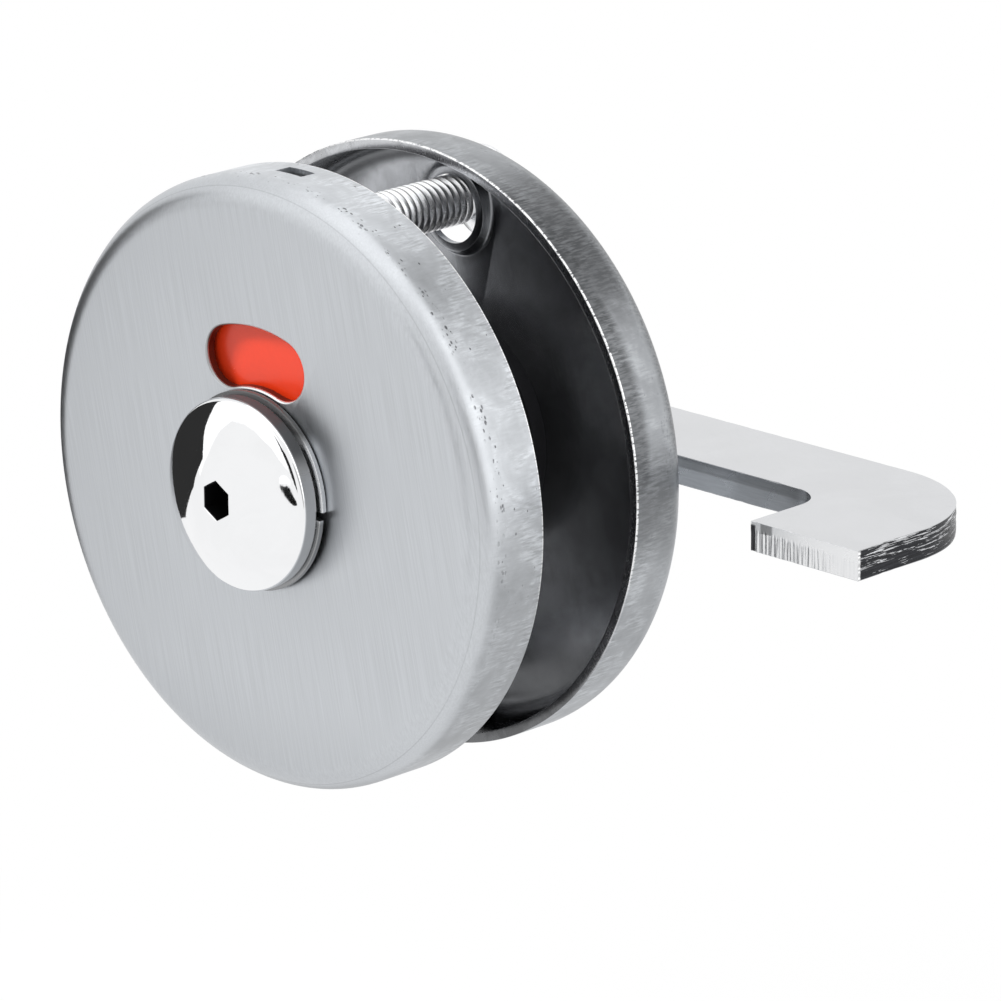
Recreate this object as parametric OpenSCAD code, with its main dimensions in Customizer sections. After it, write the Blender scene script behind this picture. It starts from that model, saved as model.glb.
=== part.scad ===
// Indicator bolt for a partition door. Two pressed roses clamp the door between them.
// Inside, an L-shaped lever turns a square spindle. Outside, a coloured disc behind a
// kidney window turns with it, and a domed knob with a hexagon socket releases it by key.
// Millimetres. The spindle axis lies along Y, the outside faces -Y, up is +Z and the
// lever points to +X. The origin is on the spindle axis, in the plane of the outer rim.

/* [Roses] */
// Outside diameter of both roses
rose_d = 72; // [68:1:84]
// Sheet thickness of both roses
sheet_t = 1.2; // [0.8:0.1:1.6]
// Outside radius of the pressed edge
edge_r = 3.6; // [2.5:0.1:4.4]
// Depth of the outer rose, rim to face
outer_depth = 10; // [10:0.5:13]
// Depth of the inner rose, rim to face
inner_depth = 9; // [9:0.5:12]
// Thickness of the door between the two rims
door_t = 15; // [12:0.5:18]

/* [Window and slot] */
// Middle radius of the kidney window
window_r = 15.5; // [15.2:0.1:16.5]
// Width of the window across its band
window_w = 7.1; // [5:0.1:7.8]
// Angle from the top to the centre of each window end
window_half = 16.7; // [8:0.1:24]
// Width of the pry slot in the outer skirt
slot_w = 4.2; // [3:0.1:6]
// Height of the pry slot along the axis
slot_h = 2.2; // [1.8:0.1:2.4]
// Distance from the rim to the pry slot
slot_low = 2.1; // [2:0.1:2.5]

/* [Release knob] */
// Diameter of the knob
knob_d = 22.6; // [19:0.1:22.8]
// Height of the knob's straight side
knob_side = 2; // [2:0.1:5]
// Height of the domed cap above the side
knob_cap = 3.2; // [1.5:0.1:4]
// Hexagon socket across its flats
hex_af = 4; // [3:0.5:5]
// Depth of the hexagon socket
hex_depth = 3.8; // [2.5:0.1:4]
// Diameter of the knob's shank
shank_d = 10; // [10:0.1:11]
// Thickness of the split spring washer
spring_t = 0.7; // [0.5:0.1:1]
// Rise of the spring washer from end to end
spring_rise = 0.4; // [0.2:0.1:0.8]
// Reach of the spring washer past the knob's edge
spring_reach = 0.35; // [0:0.05:0.6]
// Width of the split in the spring washer, in degrees
spring_split = 8; // [7:1:16]

/* [Indicator] */
// Diameter of the carrier disc
disc_d = 43; // [42:0.5:44]
// Thickness of the carrier disc
disc_t = 1; // [0.8:0.1:1.2]
// Thickness of the coloured faces
film_t = 0.2; // [0.1:0.05:0.3]
// Angle that each coloured face covers
film_angle = 86; // [76:1:88]

/* [Spindle] */
// Width of the square spindle
spindle_w = 5; // [4.5:0.1:5.2]
// Diameter of the pin in the shank
spindle_pin_d = 1.1; // [0.8:0.1:1.2]

/* [Fixing] */
// Distance between the two fixing screws
screw_centres = 56; // [54.5:0.5:56]
// Diameter of the screw thread
screw_d = 6; // [5:0.5:6]
// Pitch of the screw thread
screw_pitch = 1; // [0.8:0.05:1.25]
// Overall length of a screw
screw_len = 30; // [29:0.5:32]
// Diameter of the countersunk head
head_d = 11.3; // [10:0.1:11.4]
// Distance that the heads stand off their seats
head_off = 3.2; // [0.5:0.1:3.3]
// Diameter of the screw holes in the inner rose
hole_d = 8.2; // [6.6:0.1:8.6]
// Height of the dimple around each screw hole
dimple_h = 1.4; // [0.8:0.1:1.8]
// Diameter of the threaded posts
post_d = 10; // [9.5:0.1:10.2]
// Reach of the posts behind the outer rim
post_back = 4; // [2:0.5:6]

/* [Lever] */
// Thickness of the lever plate
lever_t = 3.5; // [3:0.1:5]
// Reach of the lever from the spindle axis
lever_reach = 68.2; // [64:0.1:90]
// Gap between the inner rose and the lever's arm
arm_gap = 4.7; // [3.6:0.1:8]
// Width of the lever's arm
arm_w = 13.7; // [13:0.1:20]
// Width of the lever's leg at its tip
leg_w = 16; // [12:0.5:18]
// Slant of the leg's inner edge, in degrees
leg_slant = 0; // [0:1:15]
// Outer radius of the lever's bend
bend_r = 15.7; // [14:0.1:24]
// Inner radius of the lever's bend
corner_r = 4.2; // [1:0.1:5]
// Distance from the door face to the leg's tip
tip_gap = 1.2; // [0.3:0.1:3]

/* [Turn post] */
// Diameter of the turn post
turn_d = 16; // [15.5:0.1:17]
// Diameter of the collar on the turn post
collar_d = 21; // [20.5:0.5:26]
// Thickness of the collar
collar_t = 2; // [1.5:0.1:2.2]
// Diameter of the two lever pins
lever_pin_d = 4; // [3:0.5:5]
// Diameter of the bush flange inside the inner rose
flange_d = 28; // [28:0.5:32]
// Angle that the lever swings between its stops
swing = 90; // [60:5:100]

/* [Fits] */
// Radial clearance of turning and sliding pieces
run_fit = 0.05; // [0.02:0.01:0.08]
// Radial clearance of pieces that are pressed together
press_fit = 0.02; // [0.01:0.01:0.04]

/* [Hidden] */
$fn = 96;
eps = 0.5;
rose_r = rose_d / 2;
skirt_in = rose_r - sheet_t;

// heights of the outside unit above the outer rim, towards the outside
outer_in = outer_depth - sheet_t;
plate_t = 1.2;
plate_low = 0.6;
plate_top = plate_low + plate_t;
plate_r = skirt_in - 0.15;
plate_rim = min(slot_low + slot_h + 1, outer_depth - edge_r - 0.2);
rim_in = plate_r - plate_t;
shank_r = shank_d / 2;
shank_cut = 0.8;
shank_flat = shank_r - shank_cut;
shank_end = -1;
bush_wall = 2.2;
bush_lip = 5;
bush_flange = 1.2;
hub_wall = 4;
hub_gap = 0.1;
hub_len = 3.3;
post_room = 0.3;
film_gap = 0.5;
film_top = outer_in - film_gap;
disc_top = film_top - film_t;
disc_low = disc_top - disc_t;
disc_hub_top = outer_in - hub_gap;
disc_hub_low = disc_hub_top - hub_len;
clip_t = 0.8;
clip_top = disc_hub_low - 0.05;
clip_groove_r = shank_r - 0.6;
pin_height = (plate_top + bush_flange + clip_top - clip_t) / 2;

// heights of the release knob
spring_low = outer_depth + 0.05;
knob_back = outer_depth + spring_t + spring_rise + 0.1;
knob_r = knob_d / 2;
knob_rim = knob_back + knob_side;
knob_top = knob_rim + knob_cap;
cap_r = (knob_r * knob_r + knob_cap * knob_cap) / (2 * knob_cap);
socket_end = outer_depth + 0.5;

// depths of the inside unit behind the inner rim, towards the inside
inner_in = inner_depth - sheet_t;
turn_r = turn_d / 2;
sleeve_r = turn_r + 1.4;
flange_t = 2;
flange_low = inner_in - flange_t;
rib_h = 2;
rib_in = turn_r + 3.2;
rib_out = flange_d / 2 - 0.4;
stop_top = flange_low - 0.1;
stop_t = 1;
stop_half = 15;
stop_room = 1.5;
post_clip_top = stop_top - stop_t - 0.05;
turn_flat = turn_r - 0.8;
turn_end = inner_in - 5.2;
washer_t = 0.5;
collar_low = inner_depth + washer_t + 0.1;
arm_near = inner_depth + arm_gap;
arm_far = arm_near + arm_w;
socket_deep = arm_near - 0.9;
turn_top = arm_far + 1.6;
spindle_rear = inner_in + 0.2;
head_top = inner_depth + head_off;
lever_in = -turn_r + 0.4;
screw_r = screw_d / 2;
head_r = head_d / 2;
thread_root = screw_r - 0.58 * screw_pitch;
thread_from = head_r - screw_r + 1.6;
turns = floor((screw_len - thread_from - 1) / screw_pitch);

// lays a shape that is drawn in the front view, with its height towards the outside, on the Y axis
module outside() {
    rotate([90, 0, 0])
        children();
}

// places a shape whose height is its depth behind the inner rim
module inside() {
    rotate([90, 0, 0])
        translate([0, 0, -door_t])
            mirror([0, 0, 1])
                children();
}

// a rectangle from the origin with its far corner rounded
module corner_block(w, h, r) {
    union() {
        square([w - r, h]);
        square([w, h - r]);
        translate([w - r, h - r])
            intersection() {
                circle(r = r);
                translate([-r / 4, -r / 4])
                    square([2 * r, 2 * r]);
            }
    }
}

// half section of a pressed rose
module rose_section(depth) {
    difference() {
        corner_block(rose_r, depth, edge_r);
        translate([0, -eps])
            corner_block(skirt_in, depth - sheet_t + eps, edge_r - sheet_t);
    }
}

// a flat ring between two heights
module ring(r_in, r_out, low, high) {
    difference() {
        translate([0, 0, low])
            cylinder(r = r_out, h = high - low);
        translate([0, 0, low - eps])
            cylinder(r = r_in, h = high - low + 2 * eps);
    }
}

// a ring sector that starts at an angle in the front view
module ring_sector(r_in, r_out, low, high, start, span) {
    rotate([0, 0, start])
        rotate_extrude(angle = span)
            translate([r_in, low])
                square([r_out - r_in, high - low]);
}

// a round bar with two flats
module double_d(r, flat, low, high) {
    intersection() {
        translate([0, 0, low])
            cylinder(r = r, h = high - low);
        translate([-flat, -2 * r, low - eps])
            cube([2 * flat, 4 * r, high - low + 2 * eps]);
    }
}

// an open retaining ring whose gap points to an angle
module clip(r_in, r_out, low, high, gap, turned) {
    difference() {
        ring(r_in, r_out, low, high);
        rotate([0, 0, turned])
            translate([0, -gap / 2, low - eps])
                cube([2 * r_out, gap, high - low + 2 * eps]);
    }
}

// points along an arc, with angles counted from the top towards the left
function arc(r, from, to, steps) =
    [for (i = [0 : steps]) let (t = from + (to - from) * i / steps) [-r * sin(t), r * cos(t)]];

// outline of the kidney window: outer arc, left end, inner arc, right end
window_end = [for (side = [1, -1]) [-window_r * sin(side * window_half), window_r * cos(window_half)]];
window_outer = arc(window_r + window_w / 2, -window_half, window_half, 24);
window_left = [for (p = arc(window_w / 2, window_half, window_half + 180, 24)) p + window_end[0]];
window_inner = arc(window_r - window_w / 2, window_half, -window_half, 24);
window_right = [for (p = arc(window_w / 2, 180 - window_half, 360 - window_half, 24)) p + window_end[1]];
function middle(list) = [for (i = [1 : len(list) - 2]) list[i]];

module kidney() {
    polygon(concat(window_outer, middle(window_left), window_inner, middle(window_right)));
}

module outer_rose() {
    color([0.74, 0.75, 0.76])
    outside()
    difference() {
        rotate_extrude()
            rose_section(outer_depth);
        translate([0, 0, outer_in - eps])
            linear_extrude(sheet_t + 2 * eps)
                kidney();
        translate([0, 0, outer_in - eps])
            cylinder(r = shank_r + 0.6, h = sheet_t + 2 * eps);
        translate([-slot_w / 2, rose_r - 4 * sheet_t, slot_low])
            cube([slot_w, 8 * sheet_t, slot_h]);
    }
}

module base_plate() {
    color([0.62, 0.63, 0.65])
    outside()
    difference() {
        union() {
            ring(shank_r + bush_wall, plate_r, plate_low, plate_top);
            ring(rim_in, plate_r, plate_low, plate_rim);
            translate([0.4 - slot_w / 2, rim_in, slot_low + 0.3])
                cube([slot_w - 0.8, plate_t + 0.7, slot_h - 0.6]);
        }
        for (side = [-1, 1])
            translate([0, side * screw_centres / 2, plate_low - eps])
                cylinder(r = post_d / 2 - 0.8, h = plate_t + 2 * eps);
    }
}

module threaded_posts() {
    bore = screw_r + run_fit;
    neck = post_d / 2 - 0.8 - press_fit;
    color([0.7, 0.7, 0.68])
    outside()
    intersection() {
        for (side = [-1, 1])
            translate([0, side * screw_centres / 2, 0])
                rotate_extrude()
                    polygon([[bore, -post_back], [neck, -post_back], [neck, plate_top],
                        [post_d / 2, plate_top], [post_d / 2, outer_in - 0.6], [bore, outer_in - 0.6]]);
        translate([0, 0, -post_back - eps])
            cylinder(r = rim_in - post_room, h = outer_depth + post_back);
    }
}

module shank_bush() {
    color([0.9, 0.9, 0.87])
    outside()
    union() {
        ring(shank_r + run_fit, shank_r + bush_wall - press_fit, plate_low, plate_top + bush_flange);
        ring(shank_r + bush_wall / 2, shank_r + bush_lip, plate_top, plate_top + bush_flange);
    }
}

module knob_section() {
    intersection() {
        translate([0, knob_top - cap_r])
            circle(r = cap_r, $fn = 240);
        polygon([[0, knob_back], [knob_r - 0.2, knob_back],
            [knob_r, knob_back + 0.2], [knob_r, knob_rim - 0.3],
            [knob_r - 0.35, knob_rim + 0.2], [0, knob_top + 2]]);
    }
}

module release_knob() {
    half = spindle_w / 2 + press_fit;
    color([0.86, 0.87, 0.88])
    outside()
    difference() {
        union() {
            rotate_extrude()
                knob_section();
            translate([0, 0, disc_hub_top])
                cylinder(r = shank_r, h = knob_back - disc_hub_top + 0.2);
            double_d(shank_r, shank_flat, shank_end, disc_hub_top);
        }
        translate([0, 0, knob_top - hex_depth])
            rotate([0, 0, 30])
                cylinder(r = hex_af / 2 / cos(30), h = hex_depth + 1, $fn = 6);
        translate([-half, -half, shank_end - eps])
            cube([2 * half, 2 * half, socket_end - shank_end + eps]);
        ring(clip_groove_r, shank_r + 1, clip_top - clip_t - 0.03, clip_top + 0.03);
        translate([0, 0, pin_height])
            rotate([0, 90, 0])
                cylinder(r = spindle_pin_d / 2 + press_fit, h = 3 * shank_r, center = true);
    }
}

// corners of the spring washer's section along its one turn
spring_steps = 60;
spring_in = shank_r + 1.2;
spring_out = knob_r + spring_reach;
spring_turn = 360 - spring_split;
function spring_angle(i) = spring_turn * i / spring_steps + spring_split / 2 - 3;
function spring_height(i) = spring_low + spring_rise * i / spring_steps;
function spring_corner(i, r, up) =
    [r * cos(spring_angle(i)), r * sin(spring_angle(i)), spring_height(i) + up];
spring_points = [for (i = [0 : spring_steps]) each [
    spring_corner(i, spring_in, 0),
    spring_corner(i, spring_out, 0),
    spring_corner(i, spring_out, spring_t),
    spring_corner(i, spring_in, spring_t)]];
spring_faces = [
    [0, 1, 2],
    [0, 2, 3],
    for (i = [0 : spring_steps - 1]) for (k = [0 : 3]) each [
        [4 * i + k, 4 * i + 4 + k, 4 * i + (k + 1) % 4],
        [4 * i + (k + 1) % 4, 4 * i + 4 + k, 4 * i + 4 + (k + 1) % 4]],
    [4 * spring_steps, 4 * spring_steps + 2, 4 * spring_steps + 1],
    [4 * spring_steps, 4 * spring_steps + 3, 4 * spring_steps + 2]];
spring_first = [for (k = [0 : 3]) spring_points[k]];
spring_last = [for (k = [0 : 3]) spring_points[4 * spring_steps + k]];
spring_gap = min([for (a = spring_first) for (b = spring_last) norm(a - b)]);
echo(spring_washer_least_gap_mm = spring_gap);

module spring_washer() {
    color([0.8, 0.81, 0.82])
    outside()
    polyhedron(spring_points, spring_faces);
}

module indicator_disc() {
    color([0.92, 0.92, 0.9])
    outside()
    difference() {
        union() {
            translate([0, 0, disc_low])
                cylinder(r = disc_d / 2, h = disc_t);
            translate([0, 0, disc_hub_low])
                cylinder(r = shank_r + hub_wall, h = disc_hub_top - disc_hub_low);
        }
        double_d(shank_r + press_fit, shank_flat + press_fit, disc_hub_low - eps, disc_hub_top + eps);
    }
}

// one coloured face of the disc, centred on an angle in the front view
module film(middle) {
    start = middle - film_angle / 2;
    ring_sector(shank_r + hub_wall + 0.5, disc_d / 2 - 0.3, disc_top, film_top, start, film_angle);
}

module red_sector() {
    color([0.85, 0.05, 0.03])
    outside()
    film(90);
}

module green_sector() {
    color([0.05, 0.5, 0.16])
    outside()
    film(90 - swing);
}

module shank_circlip() {
    color([0.3, 0.3, 0.32])
    outside()
    clip(clip_groove_r + press_fit, shank_r + 2, clip_top - clip_t, clip_top, 5, 200);
}

module spindle() {
    front = socket_end - 0.1;
    rear = door_t + spindle_rear;
    color([0.66, 0.66, 0.68])
    outside()
    difference() {
        translate([-spindle_w / 2, -spindle_w / 2, -rear])
            cube([spindle_w, spindle_w, rear + front]);
        translate([0, 0, pin_height])
            rotate([0, 90, 0])
                cylinder(r = spindle_pin_d / 2 + press_fit, h = 2 * spindle_w, center = true);
    }
}

module spindle_pin() {
    color([0.5, 0.5, 0.52])
    outside()
    translate([0, 0, pin_height])
        rotate([0, 90, 0])
            cylinder(r = spindle_pin_d / 2, h = 2 * shank_flat, center = true);
}

module inner_rose() {
    hole = hole_d / 2;
    color([0.6, 0.61, 0.62])
    inside()
    difference() {
        union() {
            rotate_extrude()
                rose_section(inner_depth);
            for (side = [-1, 1])
                translate([0, side * screw_centres / 2, inner_in - dimple_h])
                    cylinder(r1 = hole + 1.1, r2 = hole + 1.1 + dimple_h, h = dimple_h + 0.2);
        }
        translate([0, 0, inner_in - eps])
            cylinder(r = sleeve_r + press_fit, h = sheet_t + 2 * eps);
        rotate([0, 0, 225])
            translate([(rib_in + rib_out) / 2, 0, inner_in - eps])
                cylinder(r = 1.5 + press_fit, h = sheet_t + 2 * eps);
        for (side = [-1, 1])
            translate([0, side * screw_centres / 2, 0]) {
                translate([0, 0, inner_in - dimple_h - eps])
                    cylinder(r = hole, h = sheet_t + dimple_h + 2 * eps);
                translate([0, 0, inner_depth - 1.8])
                    cylinder(r1 = hole - 0.1, r2 = hole + 1.8, h = 1.9);
            }
    }
}

module journal_bush() {
    free_from = 180 - stop_half - stop_room;
    free_span = 2 * (stop_half + stop_room) + swing;
    color([0.06, 0.06, 0.07])
    inside()
    union() {
        ring(turn_r + run_fit, sleeve_r, flange_low, inner_depth);
        ring(turn_r + 1, flange_d / 2, flange_low, inner_in);
        ring_sector(rib_in, rib_out, flange_low - rib_h, flange_low + 0.2,
            free_from + free_span, 360 - free_span);
        rotate([0, 0, 225])
            translate([(rib_in + rib_out) / 2, 0, inner_in - 0.2])
                cylinder(r = 1.5, h = sheet_t + 0.2);
    }
}

// profile of a screw from the middle of its head to its tip
thread_points = [for (i = [0 : turns - 1]) each [
    [thread_root, thread_from + i * screw_pitch],
    [screw_r, thread_from + (i + 0.36) * screw_pitch],
    [screw_r, thread_from + (i + 0.5) * screw_pitch],
    [thread_root, thread_from + (i + 0.86) * screw_pitch]]];
screw_points = concat(
    [[0, 0], [head_r, 0], [head_r, 0.35], [screw_r - 0.3, head_r - screw_r + 0.65]],
    [[screw_r - 0.3, thread_from - 0.3]],
    thread_points,
    [[thread_root, screw_len - 0.6], [thread_root - 0.6, screw_len], [0, screw_len]]);

module fixing_screws() {
    color([0.78, 0.79, 0.8])
    inside()
    for (side = [-1, 1])
        translate([0, side * screw_centres / 2, head_top])
            rotate([180, 0, 0])
                difference() {
                    rotate_extrude()
                        polygon(screw_points);
                    translate([0, 0, -eps])
                        rotate([0, 0, 30])
                            cylinder(r = hex_af / 2 / cos(30), h = 2 + eps, $fn = 6);
                }
}

module turn_post() {
    half = spindle_w / 2 + run_fit;
    color([0.8, 0.8, 0.81])
    inside()
    difference() {
        union() {
            double_d(turn_r, turn_flat, turn_end, stop_top + 0.05);
            rotate_extrude()
                translate([0, stop_top + 0.05])
                    corner_block(turn_r, turn_top - stop_top - 0.05, 1.4);
            translate([0, 0, collar_low])
                rotate_extrude()
                    corner_block(collar_d / 2, collar_t, 0.8);
        }
        translate([-half, -half, turn_end - eps])
            cube([2 * half, 2 * half, socket_deep - turn_end + eps]);
        ring(turn_r - 0.8, turn_r + 1, post_clip_top - clip_t - 0.03, post_clip_top + 0.03);
        translate([-2 * turn_r, -lever_t / 2 - press_fit, arm_near - press_fit])
            cube([4 * turn_r, lever_t + 2 * press_fit, arm_w + 2 * press_fit]);
        lever_pin_bars(lever_pin_d / 2 + press_fit, 2 * turn_d);
    }
}

module lever_pin_bars(r, h) {
    for (along = [0.28, 0.72])
        translate([0, 0, arm_near + along * arm_w])
            rotate([90, 0, 0])
                cylinder(r = r, h = h, center = true);
}

// the space inside the lever's bend, drawn as reach against depth
module lever_hollow() {
    tip_x = lever_reach - leg_w;
    low = tip_gap - 2;
    mid_y = arm_near - corner_r;
    mid_x = tip_x - (mid_y - tip_gap) * tan(leg_slant) - corner_r / cos(leg_slant);
    edge = [mid_x + corner_r * cos(leg_slant), mid_y + corner_r * sin(leg_slant)];
    union() {
        polygon([[lever_in - 1, low], [tip_x + (tip_gap - low) * tan(leg_slant), low], edge,
            [mid_x, mid_y], [mid_x, arm_near], [lever_in - 1, arm_near]]);
        translate([mid_x, mid_y])
            circle(r = corner_r);
    }
}

module lever() {
    color([0.82, 0.83, 0.84])
    inside()
    difference() {
        rotate([90, 0, 0])
            linear_extrude(lever_t, center = true)
                difference() {
                    translate([lever_in, tip_gap])
                        corner_block(lever_reach - lever_in, arm_far - tip_gap, bend_r);
                    lever_hollow();
                }
        lever_pin_bars(lever_pin_d / 2 + press_fit, 2 * lever_t);
    }
}

module lever_pins() {
    color([0.7, 0.7, 0.72])
    inside()
    lever_pin_bars(lever_pin_d / 2, turn_d - 0.5);
}

module stop_washer() {
    low = stop_top - stop_t;
    reach = 3 * turn_r;
    color([0.55, 0.55, 0.57])
    inside()
    difference() {
        translate([0, 0, low])
            linear_extrude(stop_t)
                union() {
                    circle(r = turn_r + 2.4);
                    intersection() {
                        circle(r = rib_out - 0.2);
                        polygon([[0, 0], [-reach, reach * tan(stop_half)],
                            [-reach, -reach * tan(stop_half)]]);
                    }
                }
        double_d(turn_r + press_fit, turn_flat + press_fit, low - eps, stop_top + eps);
    }
}

module post_circlip() {
    color([0.3, 0.3, 0.32])
    inside()
    clip(turn_r - 0.8 + press_fit, turn_r + 1.8, post_clip_top - clip_t, post_clip_top, 7, 250);
}

module thrust_washer() {
    color([0.1, 0.1, 0.11])
    inside()
    ring(turn_r + 0.1, collar_d / 2 - 0.3, inner_depth + 0.05, inner_depth + 0.05 + washer_t);
}

outer_rose();
base_plate();
threaded_posts();
shank_bush();
release_knob();
spring_washer();
indicator_disc();
red_sector();
green_sector();
shank_circlip();
spindle();
spindle_pin();
inner_rose();
journal_bush();
fixing_screws();
turn_post();
lever();
lever_pins();
stop_washer();
post_circlip();
thrust_washer();
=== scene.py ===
# %% [markdown]
# # An indicator bolt for a partition door
# The real bolt is two pressed steel roses that clamp a door between them. Outside there is a mirror knob
# with a key socket and a small window on a red or green disc. Inside there is a flat lever that swings
# behind a keep. The exact model of all this is loaded first. The lesson then gives the pieces that the
# eye meets a finer shape and gives every piece its finish.

# %% Load the exact model
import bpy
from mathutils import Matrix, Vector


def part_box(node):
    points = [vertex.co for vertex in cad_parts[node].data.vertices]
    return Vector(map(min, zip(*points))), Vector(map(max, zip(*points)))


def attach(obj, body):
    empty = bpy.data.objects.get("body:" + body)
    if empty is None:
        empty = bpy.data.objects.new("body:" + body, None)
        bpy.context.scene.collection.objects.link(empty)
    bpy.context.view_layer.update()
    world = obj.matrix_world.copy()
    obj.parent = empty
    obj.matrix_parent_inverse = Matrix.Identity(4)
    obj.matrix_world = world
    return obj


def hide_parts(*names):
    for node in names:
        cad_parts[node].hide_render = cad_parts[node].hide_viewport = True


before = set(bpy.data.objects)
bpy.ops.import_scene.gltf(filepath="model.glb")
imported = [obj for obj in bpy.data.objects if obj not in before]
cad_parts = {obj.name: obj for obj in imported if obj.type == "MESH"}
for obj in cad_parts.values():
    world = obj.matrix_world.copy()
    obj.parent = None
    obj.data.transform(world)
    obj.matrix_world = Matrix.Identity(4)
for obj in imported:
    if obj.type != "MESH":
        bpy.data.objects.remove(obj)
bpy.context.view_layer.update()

# %% [markdown]
# ## Sizes
# All finer shapes but the lever are drawn in millimetres about an upright axis and are then laid on the
# bolt's own axis, because small numbers in metres make cutting tools unreliable. The main sizes are read
# from the boxes of the exact pieces, so a finer rose can never drift away from the rose that it stands for.

# %% Read the main sizes
import math
import bmesh
import bpy
from mathutils import Matrix, Vector, noise

scene = bpy.context.scene
MM = 0.001
outer_low, outer_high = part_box("outer_rose")
inner_low, inner_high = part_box("inner_rose")
ROSE_R = outer_high.x / MM
OUTER_DEPTH = (outer_high.y - outer_low.y) / MM
INNER_RIM = inner_low.y / MM
INNER_DEPTH = (inner_high.y - inner_low.y) / MM
SHEET = 1.2
EDGE_R = 3.6
SCREW_AT = 28.0
HOLE_DROP = 1.0
print("rose radius", round(ROSE_R, 2), "depths", round(OUTER_DEPTH, 2), round(INNER_DEPTH, 2))
print("inner rim at", round(INNER_RIM, 2))

# %% [markdown]
# ## From drawing to place
# A shape is drawn with its height towards the outside or the inside. One turn about X lays that height along
# the bolt's axis. The turn goes into the mesh and not into the object, so that object and pattern
# coordinates agree.

# %% Helpers that lay a shape in place
OUTSIDE = Matrix.Scale(MM, 4) @ Matrix.Rotation(math.radians(90), 4, "X")
INSIDE = Matrix.Scale(MM, 4) @ Matrix.Rotation(math.radians(-90), 4, "X")


def at_depth(depth, lay):
    """Lays a shape from a plane across the axle, at a depth in millimetres."""
    return Matrix.Translation((0, depth * MM, 0)) @ lay


def add_object(name, mesh):
    obj = bpy.data.objects.new(name, mesh)
    scene.collection.objects.link(obj)
    return obj


def finish_shape(name, shape):
    """Turns a bmesh into an object with its faces outwards."""
    bmesh.ops.recalc_face_normals(shape, faces=shape.faces)
    mesh = bpy.data.meshes.new(name)
    shape.to_mesh(mesh)
    shape.free()
    return add_object(name, mesh)


# %% [markdown]
# ## Cutting and dressing
# Cutting and joining are done with exact booleans, one tool at a time. They can leave doubled points and
# faces without area, so a piece is cleaned before it is laid in place. Faces across the axle are flat on the
# real bolt and stay flat-shaded, which keeps soft shading from creeping in from their edges.

# %% Helpers that cut, clean and dress a piece
FLAT = 0.99995
TOUCH = 0.0005


def plain(obj):
    """Turns an object and its modifiers into a plain mesh."""
    graph = bpy.context.evaluated_depsgraph_get()
    mesh = bpy.data.meshes.new_from_object(obj.evaluated_get(graph))
    obj.modifiers.clear()
    obj.data = mesh
    return obj


def combine(obj, operation, *tools):
    """Cuts the tools out of an object or joins them to it, and removes them."""
    for tool in tools:
        step = obj.modifiers.new("combine", "BOOLEAN")
        step.operation = operation
        step.solver = "EXACT"
        step.object = tool
        plain(obj)
        bpy.data.objects.remove(tool)


def clean(mesh):
    """Merges doubled points and takes out faces without area, which cutting can leave behind."""
    shape = bmesh.new()
    shape.from_mesh(mesh)
    bmesh.ops.remove_doubles(shape, verts=shape.verts, dist=TOUCH)
    bmesh.ops.triangulate(shape, faces=[face for face in shape.faces if len(face.verts) > 4])
    bmesh.ops.dissolve_degenerate(shape, edges=shape.edges, dist=TOUCH)
    shape.to_mesh(mesh)
    shape.free()


def dress(obj, body, node, finish, lay=None, sharp=32):
    """Lays a piece in place, gives it its finish and lets it ride on its body."""
    mesh = obj.data
    if lay is not None:
        clean(mesh)
        mesh.transform(lay)
    mesh.materials.clear()
    mesh.materials.append(finish)
    for face in mesh.polygons:
        face.material_index = 0
        face.use_smooth = abs(face.normal.y) < FLAT
    mesh.set_sharp_from_angle(angle=math.radians(sharp))
    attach(obj, body)
    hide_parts(node)
    print(obj.name, "has", len(mesh.polygons), "faces and rides on", body)


# %% [markdown]
# ## Node networks as arithmetic
# A finish is a small network of nodes, and so is a shape that follows a rule. Written node by node, such a
# network is hard to read. Here each number in a network is wrapped, so that plus, minus and times make the
# nodes, and a network reads like a formula.

# %% Numbers in a node network
class Value:
    """A socket of a network that can be used in arithmetic."""

    def __init__(self, socket):
        self.socket = socket
        self.tree = socket.id_data

    def __add__(self, other):
        return calc("ADD", self, other)

    def __sub__(self, other):
        return calc("SUBTRACT", self, other)

    def __rsub__(self, other):
        return calc("SUBTRACT", other, self)

    def __mul__(self, other):
        return calc("MULTIPLY", self, other)

    def __truediv__(self, other):
        return calc("DIVIDE", self, other)

    __radd__, __rmul__ = __add__, __mul__


def feed(socket, value):
    """Links a socket to a value of the network, or sets it to a plain one."""
    if isinstance(value, Value):
        value.tree.links.new(value.socket, socket)
    else:
        socket.default_value = value


def add(tree, kind, inputs=(), **settings):
    """Adds a node with its settings and inputs."""
    node = tree.nodes.new(kind)
    for key, value in settings.items():
        setattr(node, key, value)
    for key, value in dict(inputs).items():
        feed(node.inputs[key], value)
    return node


def take(node, name=0):
    return Value(node.outputs[name])


def calc(operation, *values):
    """One step of arithmetic; at least one of the values belongs to a network."""
    tree = next(value.tree for value in values if isinstance(value, Value))
    return take(add(tree, "ShaderNodeMath", enumerate(values), operation=operation))


# %% [markdown]
# ## Finishes: helpers
# Most marks on metal are masks: one at the marked place and zero elsewhere, with a soft border. A smooth ramp
# makes each border, a product of ramps keeps the place where all of them hold, and a blend lays a colour
# there. Patterns read the piece's own coordinates in millimetres.

# %% Helpers for finishes
def ramp(value, low, high, to_low=0.0, to_high=1.0):
    """Smooth change from one number to another while a value runs over a range."""
    names = ("Value", "From Min", "From Max", "To Min", "To Max")
    inputs = zip(names, (value, low, high, to_low, to_high))
    return take(add(value.tree, "ShaderNodeMapRange", inputs, interpolation_type="SMOOTHSTEP"))


def highest(first, *others):
    for other in others:
        first = calc("MAXIMUM", first, other)
    return first


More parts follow.
